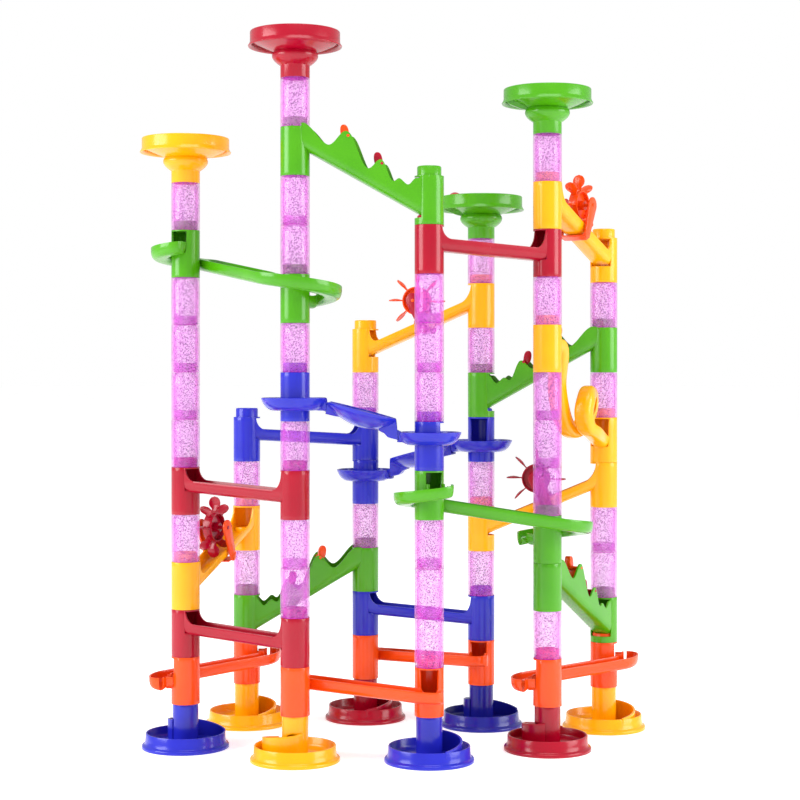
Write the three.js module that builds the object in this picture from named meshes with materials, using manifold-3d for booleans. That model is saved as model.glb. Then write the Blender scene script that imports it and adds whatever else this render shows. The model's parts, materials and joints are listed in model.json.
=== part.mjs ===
// A marble run: eight towers of stacked units stand in a ring and 22 tracks link them.
// Millimetres, +Z up. The origin is under the middle of the whole object, on the floor.
import * as THREE from 'three';
import { mergeVertices } from 'three/addons/utils/BufferGeometryUtils.js';
import Module from 'manifold-3d';

const wasm = await Module();
wasm.setup();

// ---- Driving dimensions -------------------------------------------------------------
const LINK = 137;            // distance between the axes of two linked towers
const PITCH = 50;            // height that one stacked unit adds
const BASE_TOP = 46;         // height of the shoulder on which the first unit stands
const GAP = 0.3;             // play between pieces that touch
const TUBE_R = 15;           // outer radius of tubes and couplers
const SPIGOT_R = 12.5;       // outer radius of the spigot on top of each unit
const SPIGOT_H = 10;
const SOCKET_R = 13.3;       // bore at the bottom of a unit, over the spigot below
const BORE_R = 10.3;         // bore at the top of a unit
const TUBE_SIDES = 8;
const ROUND_SIDES = 12;
const FLOOR = 2;             // thickness of a trough's floor
const RIM = 11;              // height of a trough's rim over its floor
// How far a trough's floor lies below the coupler's top, at the upper and the lower tower.
const FLOORS = [24, 32];
const STEEP_FLOORS = [16, 43];  // the same for the slalom tracks
const DISH_FLOORS = [37, 22];   // and for the dish tracks
const SHOULDER = 1.5;           // ring left under a coupler's shoulder, over a side window
const WIDE = 13;             // half the outer width of a straight trough
const NARROW = 10.4;         // half the outer width of a curved trough
const WALL = 1.8;            // thickness of a trough's wall
const MOUTH = 0.14;          // the part of a run that lies at a coupler, at either end

const COLOUR = {
  red: 0xc3103c,
  yellow: 0xffb400,
  orange: 0xff5a14,
  green: 0x5ab414,
  blue: 0x3232be,
  navy: 0x282a96,
  pink: 0xf0a0f0,
};

// ---- Plan of the towers -------------------------------------------------------------
// The ring is walked in steps of one link, each in its own direction in degrees.
const WALK = [[2, -29], [3, -1], [4, 24], [8, 58], [7, 174], [6, 163]];
const TOWER = { 1: new THREE.Vector2(0, 0) };
let stand = TOWER[1];
for (const [number, degrees] of WALK) {
  const step = new THREE.Vector2(LINK, 0).rotateAround(new THREE.Vector2(), rad(degrees));
  stand = stand.clone().add(step);
  TOWER[number] = stand;
}
TOWER[5] = closing(TOWER[6], TOWER[1]);

// The last tower closes the ring: it stands one link from both of its neighbours, outside them.
function closing(a, b) {
  const half = b.clone().sub(a).multiplyScalar(0.5);
  const rise = Math.sqrt(LINK * LINK - half.lengthSq());
  const outward = new THREE.Vector2(half.y, -half.x).normalize();
  return a.clone().add(half).addScaledVector(outward, rise);
}

function rad(degrees) {
  return THREE.MathUtils.degToRad(degrees);
}

function polar(radius, degrees) {
  return new THREE.Vector2(radius * Math.cos(rad(degrees)), radius * Math.sin(rad(degrees)));
}

function levelZ(level) {
  return BASE_TOP + PITCH * level;
}

// ---- Solids -------------------------------------------------------------------------
function signedVolume(position, index) {
  const [a, b, c] = [new THREE.Vector3(), new THREE.Vector3(), new THREE.Vector3()];
  let sum = 0;
  for (let i = 0; i < index.length; i += 3) {
    a.fromBufferAttribute(position, index[i]);
    b.fromBufferAttribute(position, index[i + 1]);
    c.fromBufferAttribute(position, index[i + 2]);
    sum += a.dot(b.cross(c));
  }
  return sum;
}

// A closed geometry becomes a solid: vertices merged, slivers dropped, faces turned outwards.
function solid(geometry) {
  geometry.deleteAttribute('normal');
  geometry.deleteAttribute('uv');
  const merged = mergeVertices(geometry, 1e-3);
  const position = merged.getAttribute('position');
  const kept = [];
  for (let i = 0; i < merged.index.count; i += 3) {
    const [a, b, c] = [0, 1, 2].map((corner) => merged.index.getX(i + corner));
    if (a !== b && b !== c && c !== a) kept.push(a, b, c);
  }
  if (signedVolume(position, kept) < 0) kept.reverse();
  const mesh = { numProp: 3, vertProperties: position.array, triVerts: new Uint32Array(kept) };
  return new wasm.Manifold(new wasm.Mesh(mesh));
}

function join(parts) {
  return parts.reduce((sum, part) => sum.add(part));
}

function cut(body, tools) {
  return tools.reduce((rest, tool) => rest.subtract(tool), body);
}

// A profile of [radius, height] pairs turned about a vertical axis through (x, y).
function turned(profile, sides, x = 0, y = 0) {
  const points = profile.map(([radius, height]) => new THREE.Vector2(radius, height));
  points.push(points[0].clone());
  const geometry = new THREE.LatheGeometry(points, sides);
  geometry.rotateX(Math.PI / 2);
  return solid(geometry.translate(x, y, 0));
}

function cylinder(radius, low, high, sides, x = 0, y = 0) {
  return turned([[0, low], [radius, low], [radius, high], [0, high]], sides, x, y);
}

// A box that starts on the axis (x, y) and reaches out to `reach` in one direction.
function arm(x, y, degrees, reach, width, low, high) {
  const geometry = new THREE.BoxGeometry(reach, width, high - low);
  geometry.translate(reach / 2, 0, (high + low) / 2);
  geometry.rotateZ(rad(degrees));
  return solid(geometry.translate(x, y, 0));
}

// A bar across a track: a round pin whose axis is level and square to the run.
function crossPin(radius, halfLength, sides) {
  return new THREE.CylinderGeometry(radius, radius, 2 * halfLength, sides);
}

// Rings of points, all with the same count, are skinned into one closed geometry.
function loft(rings) {
  const count = rings[0].length;
  const geometry = new THREE.BufferGeometry();
  geometry.setFromPoints(rings.flat());
  const index = [];
  for (let r = 0; r + 1 < rings.length; r += 1) {
    for (let i = 0; i < count; i += 1) {
      const [a, b] = [r * count + i, r * count + ((i + 1) % count)];
      index.push(a, b, b + count, a, b + count, a + count);
    }
  }
  const last = (rings.length - 1) * count;
  for (let i = 1; i + 1 < count; i += 1) {
    index.push(0, i + 1, i);
    index.push(last, last + i, last + i + 1);
  }
  geometry.setIndex(index);
  return solid(geometry);
}

// ---- Paths --------------------------------------------------------------------------
// A path is a list of stations: a point on the trough's floor, with its distance run.
function stations(points, highFloor, lowFloor) {
  const run = [0];
  for (let i = 1; i < points.length; i += 1) {
    run.push(run[i - 1] + points[i].distanceTo(points[i - 1]));
  }
  const total = run[run.length - 1];
  return points.map((point, i) => {
    const before = points[Math.max(i - 1, 0)];
    const after = points[Math.min(i + 1, points.length - 1)];
    const ahead = after.clone().sub(before).normalize();
    const part = run[i] / total;
    return {
      point,
      part,
      side: new THREE.Vector2(-ahead.y, ahead.x),
      floor: THREE.MathUtils.lerp(highFloor, lowFloor, part),
    };
  });
}

// A level-sided sweep: at each station the section spans +-half across and low..high over
// the floor, where high may change along the run.
function band(path, half, low, high) {
  return loft(path.map((station) => {
    const top = typeof high === 'function' ? high(station.part) : high;
    const left = station.point.clone().addScaledVector(station.side, half);
    const right = station.point.clone().addScaledVector(station.side, -half);
    return [
      new THREE.Vector3(left.x, left.y, station.floor + low),
      new THREE.Vector3(right.x, right.y, station.floor + low),
      new THREE.Vector3(right.x, right.y, station.floor + top),
      new THREE.Vector3(left.x, left.y, station.floor + top),
    ];
  }));
}

function arc(centre, radius, from, to, steps) {
  const points = [];
  for (let i = 0; i <= steps; i += 1) {
    points.push(polar(radius, THREE.MathUtils.lerp(from, to, i / steps)).add(centre));
  }
  return points;
}

// An S: round the upper tower clockwise, straight across, round the lower tower the other way.
// The straight stretch is the common tangent of the two circles, so the bends join smoothly.
function sBend(direction, start, end, upperR, lowerR, steps) {
  const lean = THREE.MathUtils.radToDeg(Math.asin((upperR + lowerR) / LINK));
  const upper = arc(new THREE.Vector2(), upperR, start, 90 - lean, steps[0]);
  const lower = arc(new THREE.Vector2(LINK, 0), lowerR, -90 - lean, end, steps[1]);
  const origin = new THREE.Vector2();
  return [...upper, ...lower].map((point) => point.rotateAround(origin, rad(direction)));
}

// ---- Units --------------------------------------------------------------------------
// The outside of a unit: a plain drum with a spigot on top.
function drum(x, y, low, units) {
  const top = low + PITCH * units;
  const profile = [
    [0, low + GAP],
    [TUBE_R, low + GAP],
    [TUBE_R, top],
    [SPIGOT_R, top],
    [SPIGOT_R, top + SPIGOT_H],
    [0, top + SPIGOT_H],
  ];
  return turned(profile, TUBE_SIDES, x, y);
}

// The bore of a unit between two heights; it narrows evenly from socket to spigot.
function bore(x, y, low, units, from, to) {
  const height = PITCH * units + SPIGOT_H;
  const radiusAt = (z) => SOCKET_R + (BORE_R - SOCKET_R) * ((z - low) / height);
  const profile = [[0, from], [radiusAt(from), from], [radiusAt(to), to], [0, to]];
  return turned(profile, TUBE_SIDES, x, y);
}

function wholeBore(x, y, low, units) {
  return bore(x, y, low, units, low - 1, low + PITCH * units + SPIGOT_H + 1);
}

// The ends that every track has: a coupler with a closed floor at the upper tower, where the
// marble is turned out, and an open coupler at the lower tower, where it falls on.
function ends(spec, direction) {
  const far = polar(LINK, direction);
  const lowBase = PITCH * (spec.toLevel - spec.fromLevel);
  const highUnits = spec.highUnits ?? 1;
  const lowUnits = spec.lowUnits ?? 1;
  const depths = new Map([[slalomTrack, STEEP_FLOORS], [dishTrack, DISH_FLOORS]]);
  const [highDepth, lowDepth] = depths.get(spec.make) ?? FLOORS;
  const highFloor = PITCH - highDepth;
  const lowFloor = lowBase + PITCH - lowDepth;
  const top = PITCH * highUnits + SPIGOT_H + 1;
  return {
    far,
    lowBase,
    highDepth,
    lowDepth,
    highFloor,
    lowFloor,
    drums: [drum(0, 0, 0, highUnits), drum(far.x, far.y, lowBase, lowUnits)],
    bores: [
      bore(0, 0, 0, highUnits, -1, highFloor - FLOOR),
      bore(0, 0, 0, highUnits, highFloor, top),
      wholeBore(far.x, far.y, lowBase, lowUnits),
    ],
  };
}

// The block under a window that ties a curved trough to its coupler.
function bridgeAt(x, y, degrees, reach, floor) {
  return arm(x, y, degrees, reach, 2 * NARROW, floor - 3 * FLOOR, floor + RIM / 2);
}

function windowAt(x, y, degrees, reach, floor, couplerTop) {
  const width = 2 * (NARROW - WALL) + 1;
  return arm(x, y, degrees, reach, width, floor, couplerTop - SHOULDER);
}

// ---- Tracks -------------------------------------------------------------------------
function directionOf(spec) {
  const across = TOWER[spec.to].clone().sub(TOWER[spec.from]);
  return THREE.MathUtils.radToDeg(across.angle());
}

function straightRun(direction, parts) {
  return parts.map((part) => polar(LINK * part, direction));
}

// An open trough from axis to axis. `rim` gives its height over the floor along the run, and
// `clear` the height that is cut free over the floor between the two couplers.
function openTrough(spec, rim = RIM, clear = RIM, parts = [0, 1]) {
  const direction = directionOf(spec);
  const end = ends(spec, direction);
  const trace = (list) => stations(straightRun(direction, list), end.highFloor, end.lowFloor);
  const path = trace(parts);
  const opening = (part) => {
    const toTop = THREE.MathUtils.lerp(end.highDepth, end.lowDepth, part);
    return Math.min(part, 1 - part) > MOUTH ? Math.max(toTop, clear) : toTop;
  };
  const cuts = clear > RIM ? [0, MOUTH, MOUTH + 0.02, 0.98 - MOUTH, 1 - MOUTH, 1] : [0, 1];
  const channel = band(trace(cuts), WIDE - WALL, 0, opening);
  const body = join([...end.drums, band(path, WIDE, -FLOOR, rim)]);
  return { body: cut(body, [...end.bores, channel]), direction, end, path };
}

function straightTrack(spec) {
  return openTrough(spec).body;
}

// A point over the floor of a straight run, with the run's slope, for pins and brackets.
function seat(track, part) {
  const { end, direction } = track;
  const drop = end.highFloor - end.lowFloor;
  return {
    at: polar(LINK * part, direction),
    floor: end.highFloor - drop * part,
    slope: Math.atan2(drop, LINK),
    direction,
  };
}

function placed(geometry, place, lift) {
  geometry.rotateZ(rad(place.direction));
  return geometry.translate(place.at.x, place.at.y, place.floor + lift);
}

// ---- Wheel tracks: a steep trough with a bracket that carries a paddle wheel ----------
const WHEEL_PART = 0.55;     // where along the run the wheel stands
const WHEEL_R = 33;
const WHEEL_CLEAR = 1.5;     // between the wheel's tips and the floor
const AXLE_R = 2;
const AXLE_HOLE = 2.5;
const PLATE_IN = 15;         // inner face of a bracket plate, from the middle of the track
const PLATE_OUT = 17.2;
const PLATE_WIDE = 14;       // along the track
const PLATE_OVER = 6;        // how far a plate rises over the axle
const SADDLE_DROP = 3.5;     // how far the saddle hangs below the trough
const SADDLE_H = 8;
const HUB_R = 6;
const HUB_HALF = 7;
const PETALS = 8;
const PETAL_WIDE = 13;
const PETAL_THICK = 2.4;

function axleLift(place) {
  return (WHEEL_R + WHEEL_CLEAR) / Math.cos(place.slope);
}

function wheelTrack(spec) {
  const track = openTrough(spec);
  const place = seat(track, WHEEL_PART);
  const lift = axleLift(place);
  const under = FLOOR + SADDLE_DROP;
  const plates = [-1, 1].map((side) => {
    const height = lift + PLATE_OVER + under;
    const plate = new THREE.BoxGeometry(PLATE_WIDE, PLATE_OUT - PLATE_IN, height);
    plate.translate(0, (side * (PLATE_IN + PLATE_OUT)) / 2, height / 2 - under);
    return solid(placed(plate, place, 0));
  });
  const saddle = new THREE.BoxGeometry(PLATE_WIDE, 2 * PLATE_OUT, SADDLE_H);
  saddle.translate(0, 0, -under + 1);
  const shelf = solid(placed(saddle, place, 0));
  const hole = solid(placed(crossPin(AXLE_HOLE, PLATE_OUT + 2, 8), place, lift));
  const whole = join([track.body, ...plates, shelf.subtract(band(track.path, WIDE - WALL, 0, RIM))]);
  return whole.subtract(hole);
}

function wheel(spec) {
  const direction = directionOf(spec);
  const place = seat({ end: ends(spec, direction), direction }, WHEEL_PART);
  const parts = [solid(crossPin(AXLE_R, PLATE_OUT + 0.6, 8)), solid(crossPin(HUB_R, HUB_HALF, 8))];
  for (let i = 0; i < PETALS; i += 1) {
    const petal = new THREE.BoxGeometry(WHEEL_R - 3, PETAL_WIDE, PETAL_THICK);
    petal.translate((WHEEL_R + 3) / 2, 0, 0);
    parts.push(solid(petal.rotateY((i * 2 * Math.PI) / PETALS)));
  }
  return { body: join(parts), place, lift: axleLift(place) };
}

// ---- Slalom tracks: a deep trough with crested walls and two swinging flaps ------------
const FLAPS = {
  upper: { part: 0.4, lift: 37, colour: 'orange' },
  lower: { part: 0.65, lift: 28, colour: 'red' },
};
const PIN_R = 1.5;
const PIN_HOLE = 1.9;
// The wall's wave: [part of the run, height over the floor]. It crests at the two pins.
const WAVE = [
  [0, RIM], [MOUTH, 21], [0.24, 16], [0.33, 27], [0.4, 42], [0.46, 33], [0.54, 16],
  [0.65, 33], [0.7, 24], [0.73, 17], [0.78, 23], [1 - MOUTH, 20], [1, RIM],
];
const WAVE_TOP = Math.max(...WAVE.map(([, height]) => height)) + 5;
const PADDLE_CLEAR = 12;     // between a flap's paddle and the floor

function waveHeight(part) {
  const after = WAVE.findIndex(([at]) => at >= part - 1e-9);
  if (after <= 0) return WAVE[0][1];
  const [[from, low], [to, high]] = [WAVE[after - 1], WAVE[after]];
  return THREE.MathUtils.lerp(low, high, (part - from) / (to - from));
}

function slalomTrack(spec) {
  const track = openTrough(spec, waveHeight, WAVE_TOP, WAVE.map(([part]) => part));
  const holes = Object.values(FLAPS).map(({ part, lift }) => {
    return solid(placed(crossPin(PIN_HOLE, WIDE + 2, 6), seat(track, part), lift));
  });
  return cut(track.body, holes);
}

function flap(spec, { part, lift }) {
  const direction = directionOf(spec);
  const place = seat({ end: ends(spec, direction), direction }, part);
  const pin = solid(crossPin(PIN_R, WIDE + 0.4, 6));
  const hang = lift - PADDLE_CLEAR;
  const paddle = new THREE.BoxGeometry(2.2, 16, hang).translate(0, 0, -hang / 2);
  const tongue = new THREE.BoxGeometry(8, 7, 13).translate(-4.5, 0, 4.5);
  return { body: join([pin, solid(paddle), solid(tongue)]), place, lift };
}

// ---- Curved tracks --------------------------------------------------------------------
function curvedTrack(spec) {
  const { start, end: stop, upperR, lowerR, steps, windows } = spec.bend;
  const direction = directionOf(spec);
  const end = ends(spec, direction);
  const points = sBend(direction, start, stop, upperR, lowerR, steps);
  const path = stations(points, end.highFloor, end.lowFloor);
  const inner = path.map((station, i) => {
    const inward = i === 0 ? 1 : i === path.length - 1 ? -1 : 0;
    const ahead = new THREE.Vector2(station.side.y, -station.side.x);
    return { ...station, point: station.point.clone().addScaledVector(ahead, inward * WALL) };
  });
  const bridges = [
    bridgeAt(0, 0, direction + windows[0], upperR, end.highFloor),
    bridgeAt(end.far.x, end.far.y, direction + windows[1], lowerR, end.lowFloor),
  ];
  const body = join([...end.drums, ...bridges, band(path, NARROW, -FLOOR, RIM)]);
  const lowTop = end.lowBase + PITCH;
  const tools = [
    ...end.bores,
    band(inner, NARROW - WALL, 0, RIM + 1),
    windowAt(0, 0, direction + windows[0], upperR, end.highFloor, PITCH),
    windowAt(end.far.x, end.far.y, direction + windows[1], lowerR, end.lowFloor, lowTop),
  ];
  return cut(body, tools);
}

// ---- Dish tracks: a ring trough, a free bowl and a dish, one below the other -----------
const RING_R = 35;
const BOWL_R = 38;
const DISH_R = 33;
const BOWL_DEPTH = 18;

function dishTrack(spec) {
  const direction = directionOf(spec);
  const end = ends(spec, direction);
  const middle = polar(LINK / 2, direction);
  const bowlFloor = (end.highFloor + end.lowFloor) / 2;
  const pans = [
    { x: 0, y: 0, r: RING_R, floor: end.highFloor, depth: RIM },
    { x: middle.x, y: middle.y, r: BOWL_R, floor: bowlFloor, depth: BOWL_DEPTH },
    { x: end.far.x, y: end.far.y, r: DISH_R, floor: end.lowFloor, depth: RIM },
  ];
  const outsides = pans.map((p) => {
    return cylinder(p.r, p.floor - FLOOR, p.floor + p.depth, ROUND_SIDES, p.x, p.y);
  });
  const hollows = pans.map((p, i) => {
    const hollow = cylinder(p.r - WALL, p.floor, p.floor + p.depth + 1, ROUND_SIDES, p.x, p.y);
    if (i === 1) return hollow;
    return hollow.subtract(cylinder(TUBE_R, p.floor - 1, p.floor + PITCH, TUBE_SIDES, p.x, p.y));
  });
  // Sloping passages carry the marble from pan to pan and hold the three together.
  const passage = (from, to, high, low) => {
    const points = [polar(from, direction), polar(to, direction)];
    return stations(points, high, low);
  };
  const first = passage(TUBE_R + 2, LINK / 2 - 10, end.highFloor, bowlFloor);
  const second = passage(LINK / 2 + 10, LINK - TUBE_R - 2, bowlFloor, end.lowFloor);
  const chutes = [first, second].map((path) => band(path, NARROW, -FLOOR, RIM));
  const channels = [first, second].map((path) => band(path, NARROW - WALL, 0, RIM + 8));
  const tools = [
    ...end.bores,
    ...hollows,
    ...channels,
    windowAt(0, 0, direction + 90, RING_R - 8, end.highFloor, PITCH),
    windowAt(end.far.x, end.far.y, direction, DISH_R - 8, end.lowFloor, end.lowBase + PITCH),
  ];
  return cut(join([...end.drums, ...outsides, ...chutes]), tools);
}

// ---- Loop track: a steep chute, then one upright turn ----------------------------------
const LOOP_R = 27;           // middle of the trough's depth, from the middle of the loop
const LOOP_PART = 0.6;
const LOOP_HALF = 10;        // half the outer width of the chute
const LOOP_SHIFT = 12;       // the turn moves sideways by twice this, to pass itself
const LOOP_DEPTH = 10;
const LOOP_STEPS = 24;
const LOOP_RISE = 12;        // bottom of the turn over the lower coupler's floor
const LOOP_GUIDES = 8;       // guides round the turn, of which 5 carry the sideways move
const LOOP_MOVE = 5;

function loopTrack(spec) {
  const direction = directionOf(spec);
  const end = ends(spec, direction);
  const middle = LINK * LOOP_PART;
  const bottom = end.lowFloor + LOOP_RISE;
  const centre = bottom + LOOP_R;
  // Hand-set guides: [distance from the upper axis, height, sideways shift].
  const guides = [
    [0, end.highFloor, 0],
    [TUBE_R + 8, end.highFloor - 4, 1],
    [middle * 0.48, centre + 24, LOOP_SHIFT],
    [middle * 0.7, bottom + 12, LOOP_SHIFT],
  ];
  // The turn has moved right over before it comes down again beside the chute.
  for (let i = 0; i <= LOOP_GUIDES; i += 1) {
    const turn = -Math.PI / 2 + (2 * Math.PI * i) / LOOP_GUIDES;
    const shift = THREE.MathUtils.lerp(LOOP_SHIFT, -LOOP_SHIFT, Math.min(i / LOOP_MOVE, 1));
    guides.push([middle + LOOP_R * Math.cos(turn), centre + LOOP_R * Math.sin(turn), shift]);
  }
  guides.push([LINK - TUBE_R - 8, end.lowFloor + 3, -LOOP_SHIFT * 0.35]);
  guides.push([LINK, end.lowFloor, 0]);
  const curve = new THREE.CatmullRomCurve3(guides.map((guide) => new THREE.Vector3(...guide)));
  const route = curve.getSpacedPoints(LOOP_STEPS).map((point) => point.toArray());
  const chute = tilted(route, direction, LOOP_HALF, -FLOOR, LOOP_DEPTH);
  const channel = tilted(route, direction, LOOP_HALF - WALL, 0, LOOP_DEPTH + 1);
  const lowTop = end.lowBase + PITCH;
  const tools = [
    ...end.bores,
    channel,
    windowAt(0, 0, direction, TUBE_R + 2, end.highFloor, PITCH),
    windowAt(end.far.x, end.far.y, direction + 180, TUBE_R + 2, end.lowFloor, lowTop),
  ];
  return cut(join([...end.drums, chute]), tools);
}

// A sweep whose section tips with the run, so that it can stand upright or hang upside down.
function tilted(route, direction, half, low, high) {
  const along = polar(1, direction);
  const across = new THREE.Vector3(-along.y, along.x, 0);
  const points = route.map(([run, z, shift]) => {
    return new THREE.Vector3(along.x * run, along.y * run, z).addScaledVector(across, shift);
  });
  return loft(points.map((point, i) => {
    const before = points[Math.max(i - 1, 0)];
    const after = points[Math.min(i + 1, points.length - 1)];
    const ahead = after.clone().sub(before).normalize();
    const up = ahead.clone().cross(across).normalize();
    return [[half, low], [-half, low], [-half, high], [half, high]].map(([side, rise]) => {
      return point.clone().addScaledVector(across, side).addScaledVector(up, rise);
    });
  }));
}

// ---- Bases, tubes, funnels, marble -----------------------------------------------------
const BASE_R = 46;
const FLANGE = 4;
const TRAY_R = 42;           // outside of the tray's wall
const TRAY_WALL = 2;
const RIM_Z = 16;
const COLUMN_R = 13.5;
const TRAY_FLOOR = 6;
const BASE_SPIGOT_R = 11.6;  // clears the flats of the socket above
const WINDOW_WIDE = 18.5;
const WINDOW_TOP = 29;
// The guard wall winds clockwise from beside the window out to the tray's rim.
const GUARD = { lead: 42, sweep: 190, steps: 6, reach: 40.5, top: 30, thick: 2 };

// A round foot with a tray; the marble leaves the column by a window, along a spiral wall.
function base(windowDegrees) {
  const profile = [
    [0, 0],
    [BASE_R, 0],
    [BASE_R, FLANGE],
    [TRAY_R + 0.5, FLANGE + 0.5],
    [TRAY_R, RIM_Z],
    [TRAY_R - TRAY_WALL, RIM_Z],
    [TRAY_R - TRAY_WALL - 0.5, TRAY_FLOOR],
    [COLUMN_R, TRAY_FLOOR],
    [COLUMN_R, BASE_TOP],
    [BASE_SPIGOT_R, BASE_TOP],
    [BASE_SPIGOT_R, BASE_TOP + SPIGOT_H],
    [BORE_R, BASE_TOP + SPIGOT_H],
    [BORE_R, TRAY_FLOOR],
    [0, TRAY_FLOOR],
  ];
  const guard = [];
  for (let i = 0; i <= GUARD.steps; i += 1) {
    const part = i / GUARD.steps;
    const degrees = windowDegrees + GUARD.lead - GUARD.sweep * part;
    const radius = THREE.MathUtils.lerp(COLUMN_R - 1, GUARD.reach, part);
    const top = THREE.MathUtils.lerp(GUARD.top, RIM_Z + 1, part);
    const [near, far, foot] = [radius, radius + GUARD.thick, TRAY_FLOOR - 1];
    guard.push([[near, foot], [far, foot], [far, top], [near, top]].map(([r, z]) => {
      const spot = polar(r, degrees);
      return new THREE.Vector3(spot.x, spot.y, z);
    }));
  }
  const body = turned(profile, ROUND_SIDES);
  const opening = arm(0, 0, windowDegrees, COLUMN_R + 4, WINDOW_WIDE, TRAY_FLOOR, WINDOW_TOP);
  return body.add(loft(guard)).subtract(opening);
}

function tubes(units) {
  return drum(0, 0, 0, units).subtract(wholeBore(0, 0, 0, units));
}

// A funnel's wall, as [radius, height over the tube]: up the outside, then down the inside.
const FUNNEL_WALL = [
  [TUBE_R, 15], [23, 20], [24, 26], [44, 34], [48, 32], [46, 36], [46, 47.5],
  [44.2, 47.5], [44, 37], [24, 28.5], [BORE_R, 22], [BORE_R, 4],
];

// A funnel with the clear tube that it stands on.
function funnel() {
  const wall = FUNNEL_WALL.map(([radius, height]) => [radius, PITCH + height]);
  return turned([[SOCKET_R, GAP], [TUBE_R, GAP], ...wall, [SOCKET_R, SPIGOT_H + 2]], ROUND_SIDES);
}

// ---- The whole object --------------------------------------------------------------------
const run = new THREE.Group();

function put(name, body, colour, x, y, z) {
  const mesh = body.getMesh();
  const geometry = new THREE.BufferGeometry();
  geometry.setAttribute('position', new THREE.BufferAttribute(mesh.vertProperties, 3));
  geometry.setIndex(new THREE.BufferAttribute(mesh.triVerts, 1));
  const clear = colour === 'pink';
  const finish = { color: COLOUR[colour], roughness: clear ? 0.08 : 0.3, metalness: 0 };
  const piece = new THREE.Mesh(geometry, new THREE.MeshStandardMaterial(finish));
  piece.name = name;
  piece.position.set(x, y, z);
  run.add(piece);
}

function putAt(name, body, colour, tower, z) {
  put(name, body, colour, TOWER[tower].x, TOWER[tower].y, z);
}

const BASES = [
  [1, 'blue', 160], [2, 'yellow', -95], [3, 'blue', 80], [4, 'red', -150],
  [5, 'yellow', 80], [6, 'red', 60], [7, 'navy', 160], [8, 'yellow', 80],
];
for (const [tower, colour, windowDegrees] of BASES) {
  putAt(`base_${tower}`, base(windowDegrees), colour, tower, 0);
}

// Tower, lowest level, number of tubes in the stack.
const STACKS = [
  [1, 3, 1], [1, 5, 4], [2, 2, 2], [2, 5, 1], [2, 7, 1], [2, 9, 2],
  [3, 1, 3], [3, 6, 3], [4, 1, 1], [4, 4, 3], [4, 8, 1], [8, 2, 2],
];
for (const [tower, level, units] of STACKS) {
  putAt(`tubes_${tower}_${level}`, tubes(units), 'pink', tower, levelZ(level));
}

const FUNNELS = [[1, 10, 'yellow'], [2, 12, 'red'], [4, 11, 'green'], [7, 9, 'green']];
for (const [tower, level, colour] of FUNNELS) {
  putAt(`funnel_${tower}`, funnel(), colour, tower, levelZ(level));
}

const GREEN_BEND = {
  start: 300, end: 112, upperR: 26, lowerR: 37.6, steps: [7, 7], windows: [270, 90],
};
const ORANGE_BEND = {
  start: 150, end: -35, upperR: 28, lowerR: 28, steps: [4, 4], windows: [115, -65],
};
const WAVY_BEND = {
  start: 120, end: -60, upperR: 26, lowerR: 26, steps: [3, 3], windows: [90, -90],
};

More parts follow.
